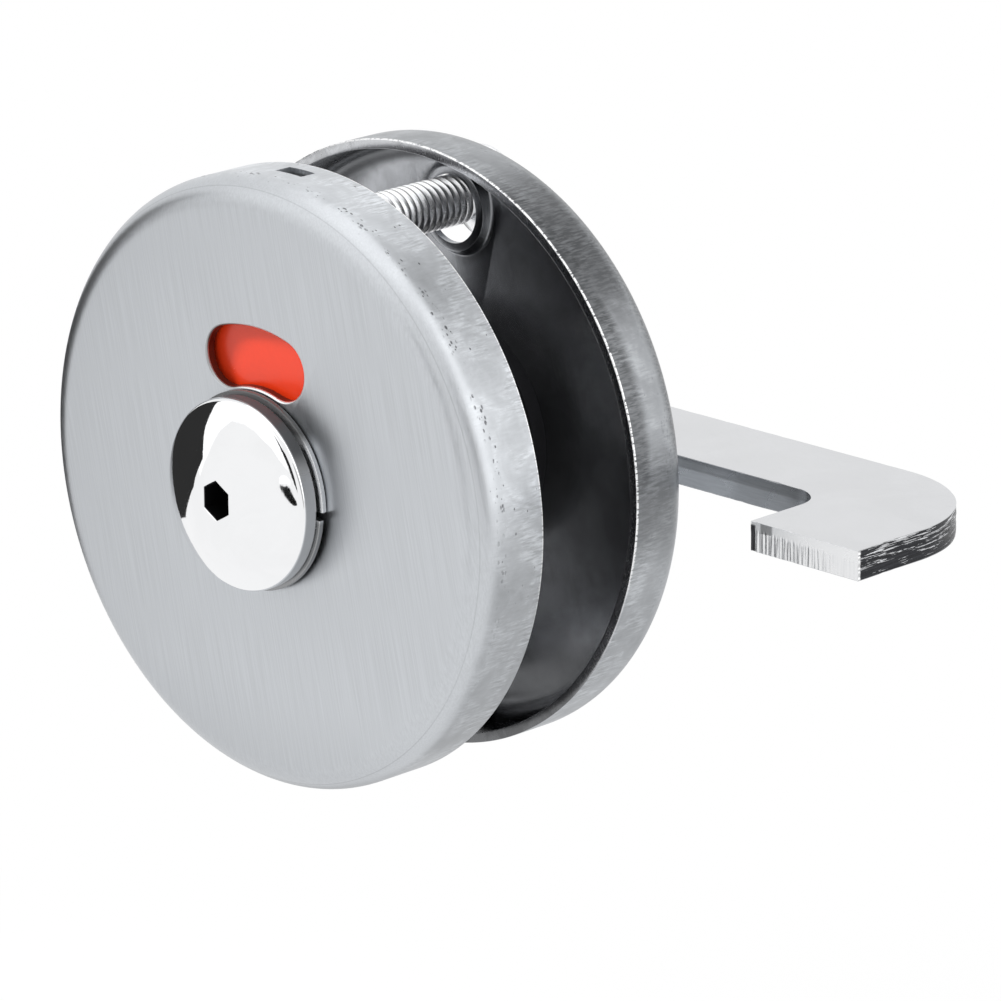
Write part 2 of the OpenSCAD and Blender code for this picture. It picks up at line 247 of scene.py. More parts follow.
def blend(factor, a, b):
    """Mixes two colours; the numbers are the colour sockets of the mix node."""
    node = add(factor.tree, "ShaderNodeMix", data_type="RGBA")
    for index, value in ((0, factor), (6, a), (7, b)):
        feed(node.inputs[index], (*value, 1.0) if isinstance(value, tuple) else value)
    return take(node, 2)


def tint(colour, amount):
    """Multiplies a colour by a value."""
    return take(add(amount.tree, "ShaderNodeVectorMath", {0: colour, "Scale": amount}, operation="SCALE"))


def stretched(place, factors):
    """Multiplies each coordinate by its own factor."""
    return take(add(place.tree, "ShaderNodeVectorMath", {0: place, 1: factors}, operation="MULTIPLY"))


def split(place):
    node = add(place.tree, "ShaderNodeSeparateXYZ", {0: place})
    return [Value(socket) for socket in node.outputs]


def new_finish(name, colour, metallic, roughness):
    """A material, the inputs of its shader and its coordinates in millimetres."""
    made = bpy.data.materials.new(name)
    made.use_nodes = True
    tree = made.node_tree
    shader = tree.nodes["Principled BSDF"].inputs
    feed(shader["Base Color"], (*colour, 1.0))
    feed(shader["Metallic"], metallic)
    feed(shader["Roughness"], roughness)
    per_metre = 1 / MM
    place = stretched(take(add(tree, "ShaderNodeTexCoord"), "Object"), (per_metre, per_metre, per_metre))
    return made, shader, place


def relief(shader, height, strength, distance):
    """Feeds a height into the shader's normal; the distance is in metres."""
    inputs = {"Height": height, "Strength": strength, "Distance": distance}
    feed(shader["Normal"], take(add(height.tree, "ShaderNodeBump", inputs), "Normal"))


# %% [markdown]
# ## Finishes: shared effects
# Four effects turn up on several pieces: fine drawn grain, haze from handling, short scratches and small
# pits. Each is a group that is built once. Its inputs say how large and how strong the effect is, so the
# same grain can be faint on a face and coarse on a skirt. A fifth group says where a place lies on the bolt:
# its distance from the axle, its place along it, and how far up and across it is.

# %% Groups for place, grain, haze, scratches and pits
VECTOR, NUMBER = "NodeSocketVector", "NodeSocketFloat"


def new_group(name, outputs, **inputs):
    group = bpy.data.node_groups.new(name, "ShaderNodeTree")
    for label, kind in {"Place": VECTOR, **inputs}.items():
        group.interface.new_socket(label, in_out="INPUT", socket_type=kind)
    for label in outputs:
        group.interface.new_socket(label, in_out="OUTPUT", socket_type=NUMBER)
    given = {socket.name: Value(socket) for socket in group.nodes.new("NodeGroupInput").outputs}
    return group, given, group.nodes.new("NodeGroupOutput").inputs


axle, given, result = new_group("distance_from_axle", ["Radius", "Along", "Up", "Across"])
x, y, z = split(given["Place"])
for label, value in {"Radius": calc("SQRT", x * x + z * z), "Along": y, "Up": z, "Across": x}.items():
    feed(result[label], value)

grain, given, result = new_group("drawn_grain", ["Shade"], Scale=VECTOR)
drawn = stretched(given["Place"], given["Scale"])
fine = {"Vector": drawn, "Scale": 1.0, "Detail": 5.0, "Roughness": 0.65}
feed(result["Shade"], ramp(take(add(grain, "ShaderNodeTexNoise", fine)), 0.28, 0.72))

haze, given, result = new_group("handling_haze", ["Haze"], Scale=NUMBER)
soft = {"Vector": given["Place"], "Scale": given["Scale"], "Detail": 4.0}
soft.update({"Roughness": 0.55, "Distortion": 0.6})
feed(result["Haze"], ramp(take(add(haze, "ShaderNodeTexNoise", soft)), 0.3, 0.7))

marks, given, result = new_group("short_scratches", ["Mark"], Scale=VECTOR, Share=NUMBER)
drawn = stretched(given["Place"], given["Scale"])
line = {"Vector": drawn, "Scale": 1.0, "Detail": 2.0, "Roughness": 0.5}
limit = 0.78 - given["Share"] * 0.3
feed(result["Mark"], ramp(take(add(marks, "ShaderNodeTexNoise", line)), limit, limit + 0.05))

pits, given, result = new_group("small_pits", ["Pit"], Scale=NUMBER, Size=NUMBER, Share=NUMBER)
around = {"Vector": given["Place"], "Scale": given["Scale"], "Randomness": 1.0}
cell = add(pits, "ShaderNodeTexVoronoi", around)
chance = take(add(pits, "ShaderNodeSeparateColor", {0: take(cell, "Color")}))
width = given["Size"] * (0.5 + chance)
dot = ramp(take(cell, "Distance"), width * 0.6, width, 1.0, 0.0)
feed(result["Pit"], dot * calc("LESS_THAN", chance, given["Share"]))
print("groups:", [group.name for group in bpy.data.node_groups])


def use(place, group, **inputs):
    """Places a group in a network with its own values."""
    node = add(place.tree, "ShaderNodeGroup", {"Place": place, **inputs}, node_tree=group)
    return [Value(socket) for socket in node.outputs]


# %% [markdown]
# ## Finish of the pressed roses
# A rose is one sheet with several kinds of surface. The face is satin, drawn with a belt that leaned a little
# to the right, and painted a little darker towards the bottom and the left as shade. The skirt was scuffed
# along the axis by the press, mostly near its rim, and small pits stayed where the edge turns; painted shade
# makes the inner skirt darker in its upper half and both skirts lighter at the very top. The cut rim is bare,
# painted darker low down as shade, with a painted highlight along the burr on its outer edge. The hollow is
# darker and left as rolled, with painted shade that is darkest low down, in its upper corner and round the
# right of each screw hole. The walls of the punched window are painted dark red-brown as shade, under a lip
# painted bright as a highlight and dimmer on its left. Painted shade darkens the inner rose's skirt at the
# upper right. One network can hold all of them, because distance from the axle and depth from the rim tell
# them apart.

# %% Colours of the roses
STEEL = (0.567, 0.587, 0.612)
WALL_SHADE = (0.16, 0.085, 0.06)
PIT_BLACK = (0.035, 0.035, 0.04)
BARE_RIM = (0.6, 0.61, 0.63)
BURR_HIGHLIGHT = (0.97, 0.975, 0.98)
LIP_HIGHLIGHT = (0.95, 0.955, 0.96)
BELT_LEAN = math.radians(12.5)


# %% Painted shade that the two roses share
def painted_shade_on_skirt(radius, height, up, across, streak, turn_at):
    """Painted shade on the right of a skirt: by its rim, above, level with the axle and over the turned edge.
    """
    right = ramp(across, 9.0, 16.0)
    by_rim = ramp(height, 3.4, 1.6) * ramp(up, -3.0, 6.0) * right * 0.55
    above = ramp(up, 18.0, 25.0) * right * 0.48
    level = ramp(up, -10.0, -4.0) * ramp(up, 9.0, 3.0) * right * 0.28
    over_edge = ramp(height, turn_at + 0.1, turn_at + 1.8) * ramp(up, -2.0, 8.0)
    over_edge = over_edge * ramp(across, -8.0, 0.0) * 0.64
    outside = ramp(radius, ROSE_R - 2.6, ROSE_R - 1.4)
    return highest(by_rim, above, level, over_edge) * outside * ramp(streak, 0.2, 0.8, 1.12, 0.8)


def painted_shade_in_hollow(radius, up, across, patch, shadow_strength):
    """Shade of the hollow: darker low down, in the upper corner and round the right of each screw hole."""
    shade = (0.9 + patch * 0.2) * ramp(up, -2.0, 26.0, 0.6, 1.0)
    shade = shade * ramp(up, -6.0, -14.0, 1.0, 1.45) * ramp(up, -17.0, -26.0, 1.0, 0.3)
    below = calc("ABSOLUTE", up + HOLE_DROP) - SCREW_AT
    from_hole = calc("SQRT", below * below + across * across)
    # painted shadow round the right of each screw hole
    ring = ramp(from_hole, 7.2, 5.6) * ramp(across, -1.5, 2.5, 0.0, shadow_strength)
    wall_r = ROSE_R - SHEET
    corner = ramp(radius, wall_r - 3.0, wall_r - 1.8) * ramp(up, 4.0, 18.0, 0.0, 0.6)
    return shade * (1.0 - ring) * (1.0 - corner)


# %% Satin rose finish
def rose_finish(name, rim, outward, depth, skirt_shade_high, skirt_shade_low, hollow, hollow_rough,
                walls_shaded, pitted, screw_hole_shadow, skirt_shaded):
    made, shader, place = new_finish(name, STEEL, 1.0, 0.34)
    radius, along, up, across = use(place, axle)
    height = (along - rim) * outward
    turn_at = depth - EDGE_R
    wall_r = ROSE_R - SHEET
    floor_at = depth - SHEET

    skirt = ramp(height, turn_at + 2.4, turn_at - 0.2) * ramp(radius, ROSE_R - 1.6, ROSE_R - 0.6)
    near_rim = ramp(height, turn_at + 0.5, 0.0, 0.45, 1.0)
    inside = ramp(radius, wall_r + 0.2, wall_r + 0.05) * ramp(height, floor_at + 0.25, floor_at + 0.05)
    cut_rim = ramp(height, 0.12, 0.04) * ramp(radius, wall_r - 0.05, wall_r + 0.05)
    window = ramp(radius, 21.5, 21.0) * ramp(up, 9.0, 9.6)
    # the window's walls are painted dark red-brown as shade
    wall = ramp(height, depth - 0.3, depth - 0.4) * ramp(height, floor_at - 0.1, floor_at + 0.02)
    wall = wall * window * walls_shaded
    # the lip round the window is painted bright as a highlight, dimmer on its left
    lip = window * ramp(height, depth - 0.34, depth - 0.28) * ramp(height, depth - 0.008, depth - 0.03)
    turn_line = ramp(height, turn_at - 0.7, turn_at - 0.3) * ramp(height, turn_at + 0.9, turn_at + 0.5)
    turn_line = turn_line * ramp(radius, ROSE_R - 1.0, ROSE_R - 0.6)

    leaned = take(add(made.node_tree, "ShaderNodeMapping", {"Vector": place, "Rotation": (0, BELT_LEAN, 0)}))
    face_grain, = use(leaned, grain, Scale=(5.0, 5.0, 0.07))
    streak, = use(place, grain, Scale=(3.4, 0.5, 3.4))
    patch, = use(place, haze, Scale=0.3)
    cloud, = use(place, haze, Scale=0.07)
    pit_place = stretched(place, (1.0, 1.5, 1.0))
    pit, = use(pit_place, pits, Scale=1.5, Size=0.42, Share=0.85)
    stray, = use(pit_place, pits, Scale=0.6, Size=0.12, Share=0.6)
    pit = highest(pit * turn_line * ramp(patch, 0.25, 0.6), stray * skirt)
    pit = pit * ramp(up, -14.0, 10.0, 0.1, pitted)
    # painted highlight along the burr on the outer edge, on its upper part only
    burr = ramp(height, 0.3, 0.2) * ramp(radius, ROSE_R - 0.2, ROSE_R - 0.12)
    burr = burr * ramp(streak, 0.25, 0.45) * ramp(up, -14.0, -4.0)

    # painted shade: the face is darker towards the bottom and the left
    satin = (0.94 + face_grain * 0.13) * ramp(up, -36.0, -22.0, 0.9, 1.0)
    satin = satin * ramp(across, -34.0, 8.0, 0.93, 1.01)
    scuffed = (streak - 0.55) * near_rim * ramp(patch, 0.3, 0.8, 0.2, 1.0)
    wear_and_shade = 0.8 + cloud * 0.16 + patch * 0.22 + scuffed * 0.6
    # painted shade: the skirt is darker on the inner rose's upper half and lighter at the very top
    wear_and_shade = wear_and_shade * ramp(up, -9.0, 2.0, skirt_shade_low, skirt_shade_high) * ramp(up, 30.0, 36.0, 1.0, 1.15)
    # painted shade on the right of the inner rose's skirt
    skirt_painted_shade = painted_shade_on_skirt(radius, height, up, across, streak, turn_at) * skirt_shaded
    colour = tint(STEEL, (satin * (1.0 - skirt) + wear_and_shade * skirt) * (1.0 - skirt_painted_shade))
    colour = blend(pit * 0.78, colour, PIT_BLACK)
    colour = blend(inside, colour, tint(hollow, painted_shade_in_hollow(radius, up, across, patch, screw_hole_shadow)))
    # painted shade: the cut rim is darker low down
    rim_shade = ramp(patch, 0.2, 0.8, 0.85, 1.1) * ramp(up, -27.0, -12.0, 0.25, 1.0)
    colour = blend(cut_rim, colour, tint(BARE_RIM, rim_shade))
    colour = blend(burr, colour, BURR_HIGHLIGHT)
    colour = blend(wall, colour, WALL_SHADE)
    colour = blend(lip, colour, tint(LIP_HIGHLIGHT, ramp(across, -4.5, -1.5, 0.45, 1.0)))
    feed(shader["Base Color"], colour)

    rough = 0.32 + face_grain * 0.05 + streak * skirt * 0.06
    feed(shader["Roughness"], rough + inside * (hollow_rough - 0.34) - cut_rim * 0.12)
    tall = face_grain * (0.35 - skirt * 0.3) + streak * skirt * (1.0 - cut_rim) * 0.5 - pit * 2.0
    relief(shader, tall, 0.5, 0.00002)
    return made


outer_satin = rose_finish(
    "outer_rose_satin", 0.0, -1.0, OUTER_DEPTH, skirt_shade_high=0.99, skirt_shade_low=0.99,
    hollow=(0.3, 0.31, 0.32), hollow_rough=0.4, walls_shaded=1.0, pitted=1.0, screw_hole_shadow=0.0, skirt_shaded=0.0)
inner_satin = rose_finish(
    "inner_rose_satin", INNER_RIM, 1.0, INNER_DEPTH, skirt_shade_high=0.6, skirt_shade_low=0.98,
    hollow=(0.47, 0.483, 0.507), hollow_rough=0.24, walls_shaded=0.0, pitted=0.25, screw_hole_shadow=0.45, skirt_shaded=1.0)
print("made", outer_satin.name, "and", inner_satin.name)

# %% [markdown]
# ## Finish of the mirror knob
# The dome is polished until it reflects the room, so almost all of its look comes from what stands around
# it. Only a faint haze and a slow waviness keep it from looking like glass. Its short side stays as turned
# and a little rough, and is painted grey as shade, with a painted dark band of shade at the top that mirrors
# nothing. The walls of the key socket are nearly black and rougher.

# %% Mirror finish with a dark socket
KNOB_TOP, KNOB_RIM, KNOB_BACK, KNOB_R = 16.4, 13.2, 11.2, 11.3
CHROME = (0.9, 0.905, 0.915)
knob_mirror, shader, place = new_finish("knob_mirror", CHROME, 1.0, 0.03)
radius, along, up, across = use(place, axle)
cloud, = use(place, haze, Scale=0.16)
waves, = use(place, haze, Scale=0.35)
socket_wall = ramp(radius, 2.55, 2.42) * ramp(along, 0.16 - KNOB_TOP, 0.24 - KNOB_TOP)
# painted shade: the turned side is painted grey, and its top dark and not metallic
turned_side = ramp(radius, KNOB_R - 0.09, KNOB_R - 0.05) * ramp(along, 0.2 - KNOB_RIM, 0.4 - KNOB_RIM)
shaded_top = turned_side * ramp(up, 3.5, 7.0)
colour = tint(CHROME, 0.97 + cloud * 0.03)
colour = blend(turned_side * 0.52, colour, (0.16, 0.165, 0.175))
colour = blend(shaded_top, colour, (0.06, 0.063, 0.067))
feed(shader["Base Color"], blend(socket_wall, colour, (0.03, 0.03, 0.033)))
feed(shader["Metallic"], 1.0 - shaded_top)
feed(shader["Roughness"], 0.02 + cloud * 0.035 + turned_side * 0.16 + shaded_top * 0.34 + socket_wall * 0.5)
relief(shader, waves, 0.12, 0.00002)
print("made", knob_mirror.name)

# %% [markdown]
# ## Finish of the lever
# The lever was sheared and punched from polished plate. Its two flat faces keep the polish with faint
# clouds of wear. Each edge shows how it was cut. The arm's near edge is dull with one drawn line. The tip
# is painted bright as a highlight, with upright teeth where the shear tore it, mostly low and to the left,
# painted darker as reflection, and two chipped spots. Round the bend the punch left flat streaks, and their
# black is painted reflection. The mesh has teeth and streaks of its own, and the colours run the same way.

# %% Polished plate with torn edges
LEVER_HALF = 1.75
TIP = 1.2
TIP_FACE = INNER_RIM + TIP
PLATE = (0.66, 0.668, 0.685)
lever_polish, shader, place = new_finish("lever_polish", PLATE, 1.0, 0.16)
x, y, z = split(place)
cloud, = use(place, haze, Scale=0.11)
smear, = use(place, marks, Scale=(0.35, 2.4, 2.4), Share=0.5)
teeth, = use(place, grain, Scale=(3.6, 0.3, 0.2))
streak, = use(place, grain, Scale=(0.32, 0.32, 5.6))
side = ramp(calc("ABSOLUTE", z), LEVER_HALF - 0.02, LEVER_HALF - 0.12)
tip = side * ramp(y, TIP_FACE + 0.5, TIP_FACE + 0.3)
wall = side - tip
bend = wall * ramp(x, 55.0, 57.0)
arm = wall * ramp(x, 53.5, 52.6) * ramp(y, 31.0, 30.0)
low_left = ramp(z, 0.75, 0.2) * ramp(x, 66.5, 56.0, 0.1, 1.0)
chip = tip * ramp(x, 53.5, 53.8) * ramp(x, 55.6, 55.2) * ramp(z + cloud, 1.1, 1.25)
nick = tip * ramp(x + teeth * 0.6, 53.4, 53.0) * ramp(z, 1.5, 1.2)
bend_reflection = ramp(streak + z * 0.08, 0.79, 0.73)
drawn_line = ramp(z, 0.32, 0.4) * ramp(z, 0.54, 0.46)
edge_shade = 0.8 + ramp(z, 0.46, 0.3) * 0.45 + streak * 0.2

colour = tint(PLATE, 0.97 + cloud * 0.05 - smear * 0.02)
# painted highlight on the tip, with its low left teeth painted darker as reflection
colour = blend(tip, colour, (0.83, 0.835, 0.845))
colour = blend(tip * low_left * ramp(teeth, 0.46, 0.2), colour, (0.58, 0.585, 0.595))
colour = blend(chip * 0.8, colour, (0.2, 0.203, 0.21))
colour = blend(nick, colour, (0.06, 0.06, 0.065))
# painted reflection: black streaks round the bend
colour = blend(bend * bend_reflection, colour, (0.035, 0.036, 0.04))
colour = blend(arm * (0.96 - drawn_line * 0.3), colour, tint((0.45, 0.465, 0.485), edge_shade))
feed(shader["Base Color"], colour)
feed(shader["Roughness"], 0.14 + cloud * 0.06 + side * 0.12)
relief(shader, tip * low_left * teeth + bend * streak + cloud * 0.05, 0.5, 0.00004)
print("made", lever_polish.name)

# %% [markdown]
# ## Finishes of the smaller pieces
# Turned steel carries fine rings, zinc a faint mottle, spring steel a black oil film and rolled plate a
# straight grain. Nylon is mottled and slightly rough. The coloured faces are smooth and glossy with a trace
# of dust. The spring washer is painted darker below its split as shade, and its top is painted dark and
# not metallic as shade that mirrors nothing. All come from one function that takes a colour, a roughness
# and the stretch of the grain.

# %% Plain finishes with grain and haze
METAL, OTHER = 1.0, 0.0


def plain_finish(name, colour, metallic, roughness, stretch, depth, spread, low_shade=1.0, dark_top_from=None):
    made, shader, place = new_finish(name, colour, metallic, roughness)
    radius, along, up, across = use(place, axle)
    lines, = use(place, grain, Scale=stretch)
    cloud, = use(place, haze, Scale=0.2)
    shade = (1.0 - spread) + (lines + cloud) * spread
    # painted shade below the washer's split, where low_shade is below one
    shade = shade * ramp(up, -1.6, -0.6, low_shade, 1.0)
    # painted shade at the top: dark and not metallic, so it mirrors nothing
    if dark_top_from is not None:
        shade = shade * ramp(up, dark_top_from, dark_top_from + 2.0, 1.0, 0.12)
        feed(shader["Metallic"], ramp(up, dark_top_from, dark_top_from + 2.0, 1.0, 0.0))
    feed(shader["Base Color"], tint(colour, shade))
    feed(shader["Roughness"], (roughness - 0.04) + (lines + cloud) * 0.04)
    relief(shader, lines, 0.3, depth)
    return made


zinc = plain_finish("bright_zinc", (0.9, 0.905, 0.92), METAL, 0.25, (1.5, 1.5, 1.5), 0.000006, 0.05)
turned = plain_finish("turned_steel", (0.62, 0.63, 0.645), METAL, 0.24, (0.3, 6.0, 0.3), 0.000004, 0.04)
sprung = plain_finish(
    "sprung_strip", (0.72, 0.73, 0.745), METAL, 0.26, (0.6, 4.0, 0.6), 0.000005, 0.08,
    low_shade=0.4, dark_top_from=6.5)
rolled = plain_finish("rolled_plate", (0.45, 0.455, 0.465), METAL, 0.38, (4.0, 4.0, 0.15), 0.00001, 0.07)
oiled = plain_finish("oiled_spring_steel", (0.14, 0.14, 0.15), METAL, 0.34, (2.0, 2.0, 2.0), 0.000008, 0.1)
red_gloss = plain_finish("red_gloss", (0.92, 0.05, 0.01), OTHER, 0.24, (2.0, 2.0, 2.0), 0.000003, 0.03)
green_gloss = plain_finish("green_gloss", (0.03, 0.4, 0.11), OTHER, 0.24, (2.0, 2.0, 2.0), 0.000003, 0.03)
pale_nylon = plain_finish("pale_nylon", (0.82, 0.82, 0.79), OTHER, 0.5, (1.2, 1.2, 1.2), 0.00001, 0.04)
black_nylon = plain_finish("black_nylon", (0.02, 0.02, 0.023), OTHER, 0.45, (1.2, 1.2, 1.2), 0.00001, 0.1)

PLAIN_NODES = {
    "base_plate": oiled, "threaded_posts": zinc, "shank_bush": pale_nylon, "indicator_disc": pale_nylon,
    "red_sector": red_gloss, "green_sector": green_gloss, "shank_circlip": oiled, "spindle": rolled,
    "spindle_pin": oiled, "journal_bush": black_nylon, "lever_pins": turned, "stop_washer": rolled,
    "post_circlip": oiled, "thrust_washer": black_nylon,
}
for name, finish in PLAIN_NODES.items():
    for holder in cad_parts[name].material_slots:
        holder.material = finish
print("finished", len(PLAIN_NODES), "exact pieces")

# %% [markdown]
# ## Node trees for shapes
# A pressed rose follows a rule: one bent section, swept once round the axle. A tree of geometry nodes can
# say just that, with the sizes as its inputs, and then serves both roses. One helper makes a tree's sockets,
# and another hangs the tree on an empty mesh and turns the result into a plain mesh.

# %% Helpers for geometry nodes
def shape_tree(name, sizes):
    """A tree with named sizes and a material as its inputs."""
    tree = bpy.data.node_groups.new(name, "GeometryNodeTree")
    tree.interface.new_socket("Geometry", in_out="OUTPUT", socket_type="NodeSocketGeometry")
    for label, value in sizes.items():
        socket = tree.interface.new_socket(label, in_out="INPUT", socket_type=NUMBER)
        socket.default_value = value
    tree.interface.new_socket("Material", in_out="INPUT", socket_type="NodeSocketMaterial")
    return tree, {socket.name: Value(socket) for socket in tree.nodes.new("NodeGroupInput").outputs}


def geo(tree, kind, inputs=(), **settings):
    return take(add(tree, "GeometryNode" + kind, inputs, **settings))


def close_tree(shape, finish):
    """Ends a tree in plain geometry with its material."""
    real = geo(shape.tree, "RealizeInstances", {0: shape})
    dressed = geo(shape.tree, "SetMaterial", {"Geometry": real, "Material": finish})
    feed(shape.tree.nodes.new("NodeGroupOutput").inputs[0], dressed)
    print("tree", shape.tree.name, "has", len(shape.tree.nodes), "nodes")


def grow(name, tree, finish, **sizes):
    """Hangs a tree on an empty mesh, sets its inputs and keeps the result as a plain mesh."""
    obj = add_object(name, bpy.data.meshes.new(name))
    step = obj.modifiers.new("shape", "NODES")
    step.node_group = tree
    for item in tree.interface.items_tree:
        if item.in_out == "INPUT":
            value = finish if item.name == "Material" else sizes.get(item.name, item.default_value)
            step[item.identifier] = value
    return plain(obj)


def point(tree, x, y, z=0.0):
    return take(add(tree, "ShaderNodeCombineXYZ", {0: x, 1: y, 2: z}))


def choose(tree, kind, values):
    """Gives each numbered point its own value."""
    node = add(tree, "GeometryNodeIndexSwitch", data_type=kind)
    while len(node.index_switch_items) < len(values):
        node.index_switch_items.new()
    for socket, value in zip(node.inputs, [geo(tree, "InputIndex"), *values]):
        feed(socket, value)
    return take(node)


def sweep(path, section, **inputs):
    """Sweeps a section along a path, with the section upright."""
    upright = geo(path.tree, "SetCurveNormal", {"Curve": path}, mode="Z_UP")
    return geo(path.tree, "CurveToMesh", {"Curve": upright, "Profile Curve": section, **inputs})


# %% [markdown]
# ## The pressed rose as a swept section
# Eight points draw the section: the face, the turned edge, the skirt and back along the hollow. Two of them
# lie on the flats and hold the shading flat right up to the bend. A fillet rounds each corner by its own
# radius, and the section is swept round a circle.

# %% Tree of the pressed rose
RING_R = 20.0
SHANK_HOLE_R = 5.6
COLLAR_HOLE_R = 9.42
rose_sizes = {"Radius": ROSE_R, "Sheet": SHEET, "Edge": EDGE_R}
rose_tree, size = shape_tree("pressed_rose", {**rose_sizes, "Depth": OUTER_DEPTH, "Hole": SHANK_HOLE_R})
skin_r = size["Radius"] - RING_R
wall_r = size["Radius"] - size["Sheet"] - RING_R
hole_r = size["Hole"] - RING_R
flat_r = skin_r - (size["Edge"] + 0.4)
face_h = size["Depth"] * -1.0
hollow_h = face_h + size["Sheet"]
section = [
    (hole_r, hollow_h), (flat_r, hollow_h), (wall_r, hollow_h), (wall_r, 0.0),
    (skin_r, 0.0), (skin_r, face_h), (flat_r, face_h), (hole_r, face_h),
]
inner_bend = size["Edge"] - size["Sheet"]
bends = choose(rose_tree, "FLOAT", [0.1, 0.0, inner_bend, 0.1, 0.16, size["Edge"], 0.0, 0.12])
bend_steps = choose(rose_tree, "INT", [2, 1, 10, 3, 3, 18, 1, 3])
corners = choose(rose_tree, "VECTOR", [point(rose_tree, x, y) for x, y in section])
line = geo(rose_tree, "CurvePrimitiveLine")
line = geo(rose_tree, "ResampleCurve", {"Curve": line, "Count": len(section)})
line = geo(rose_tree, "SetPosition", {"Geometry": line, "Position": corners})
line = geo(rose_tree, "SetSplineCyclic", {"Geometry": line, "Cyclic": True})
line = geo(rose_tree, "FilletCurve", {"Curve": line, "Radius": bends, "Count": bend_steps}, mode="POLY")
circle = geo(rose_tree, "CurvePrimitiveCircle", {"Resolution": 240, "Radius": RING_R})
close_tree(sweep(circle, line), size["Material"])

# %% [markdown]
# ## Outer rose
# The window is a kidney punched through the face. A punch rolls the edge over slightly on the side where it
# enters, so the cutting tool is a stack of kidneys that widens at the face. The pry slot in the skirt is a
# plain block.

# %% Solids from stacked outlines
def stack(name, rings):
    """Closes a stack of rings with equal point counts into a solid; each ring is a list of points."""
    shape = bmesh.new()
    rows = [[shape.verts.new(p) for p in ring] for ring in rings]
    count = len(rows[0])
    for low, high in zip(rows, rows[1:]):
        for i in range(count):
            shape.faces.new((low[i], low[(i + 1) % count], high[(i + 1) % count], high[i]))
    shape.faces.new(rows[0][::-1])
    shape.faces.new(rows[-1])
    return finish_shape(name, shape)


def block(name, low, high):
    (x0, y0, z0), (x1, y1, z1) = low, high
    return stack(name, [[(x0, y0, z), (x1, y0, z), (x1, y1, z), (x0, y1, z)] for z in (z0, z1)])


# %% Cut the window and the slot
WINDOW_R, WINDOW_W, WINDOW_HALF = 15.5, 7.1, math.radians(16.7)
SLOT_HALF, SLOT_LOW, SLOT_HIGH = 2.1, 2.1, 4.3
ROLLED_EDGE = [(0.0, -2.0), (0.0, -0.36), (0.03, -0.21), (0.1, -0.09), (0.24, 0.0), (0.32, 0.02), (0.32, 1.0)]


def arc(mid, r, start, end, height, steps=28):
    """Points of an arc, with angles counted from the top towards the left; its last point is left off."""
    angles = [start + (end - start) * i / steps for i in range(steps)]
    return [(mid[0] - r * math.sin(t), mid[1] + r * math.cos(t), height) for t in angles]


def kidney(grown, height):
    """Outline of the window, grown by a distance, at a height."""
    half = WINDOW_W / 2 + grown
    left, right = ((-WINDOW_R * math.sin(t), WINDOW_R * math.cos(t)) for t in (WINDOW_HALF, -WINDOW_HALF))
    outer_side = arc((0, 0), WINDOW_R + half, -WINDOW_HALF, WINDOW_HALF, height)
    left_end = arc(left, half, WINDOW_HALF, WINDOW_HALF + math.pi, height)
    inner_side = arc((0, 0), WINDOW_R - half, WINDOW_HALF, -WINDOW_HALF, height)
    right_end = arc(right, half, math.pi - WINDOW_HALF, 2 * math.pi - WINDOW_HALF, height)
    return outer_side + left_end + inner_side + right_end


window_tool = stack("window_tool", [kidney(grown, OUTER_DEPTH + up) for grown, up in ROLLED_EDGE])
slot_tool = block("slot_tool", (-SLOT_HALF, ROSE_R - 5, SLOT_LOW), (SLOT_HALF, ROSE_R + 5, SLOT_HIGH))
outer = grow("outer_rose_sheet", rose_tree, outer_satin, Depth=OUTER_DEPTH, Hole=SHANK_HOLE_R, **rose_sizes)
combine(outer, "DIFFERENCE", window_tool, slot_tool)
dress(outer, "outer_unit", "outer_rose", outer_satin, OUTSIDE)

# %% [markdown]
# ## Inner rose
# The same tree makes the inner rose with its own depth. Round each screw hole the sheet is pressed in
# towards the door as a small cone that the screw head can sink into. The cone is a turned piece of its own
# that is joined on before the hole is cut.

# %% Turned pieces
def turn(name, outline, steps=96, at=(0.0, 0.0)):
    """Turns an outline of (radius, height) pairs about the upright axis; it starts and ends on the axis."""
    shape = bmesh.new()
    angles = [2 * math.pi * i / steps for i in range(steps)]
    rows = []
    for r, h in outline:
        dots = [(at[0] + r * math.cos(t), at[1] + r * math.sin(t), h) for t in (angles if r else [0.0])]
        rows.append([shape.verts.new(dot) for dot in dots])
    for low, high in zip(rows, rows[1:]):
        for i in range(steps):
            j = (i + 1) % steps
            if len(low) == 1:
                shape.faces.new((low[0], high[i], high[j]))
            elif len(high) == 1:
                shape.faces.new((low[i], high[0], low[j]))
            else:
                shape.faces.new((low[i], high[i], high[j], low[j]))
    return finish_shape(name, shape)


# %% Dimpled screw holes
HOLE_R = 4.1
DIMPLE = 1.4
HOLE_STEPS = 72
hollow = INNER_DEPTH - SHEET
top = hollow - DIMPLE
cone = [
    (0.0, top), (HOLE_R + 0.75, top), (HOLE_R + 1.0, top + 0.12), (HOLE_R + 1.1, top + 0.3),
    (HOLE_R + 1.35, hollow - 0.45), (HOLE_R + 1.6, hollow - 0.12), (HOLE_R + 2.0, hollow + 0.04),
    (HOLE_R + 2.0, hollow + 0.3), (0.0, hollow + 0.3),
]
hole = [
    (0.0, hollow - 4), (HOLE_R, hollow - 4), (HOLE_R, INNER_DEPTH - 1.8), (HOLE_R + 1.7, INNER_DEPTH),
    (HOLE_R + 1.9, INNER_DEPTH + 0.1), (HOLE_R + 1.9, INNER_DEPTH + 3), (0.0, INNER_DEPTH + 3),
]
inner = grow("inner_rose_sheet", rose_tree, inner_satin, Depth=INNER_DEPTH, Hole=COLLAR_HOLE_R, **rose_sizes)
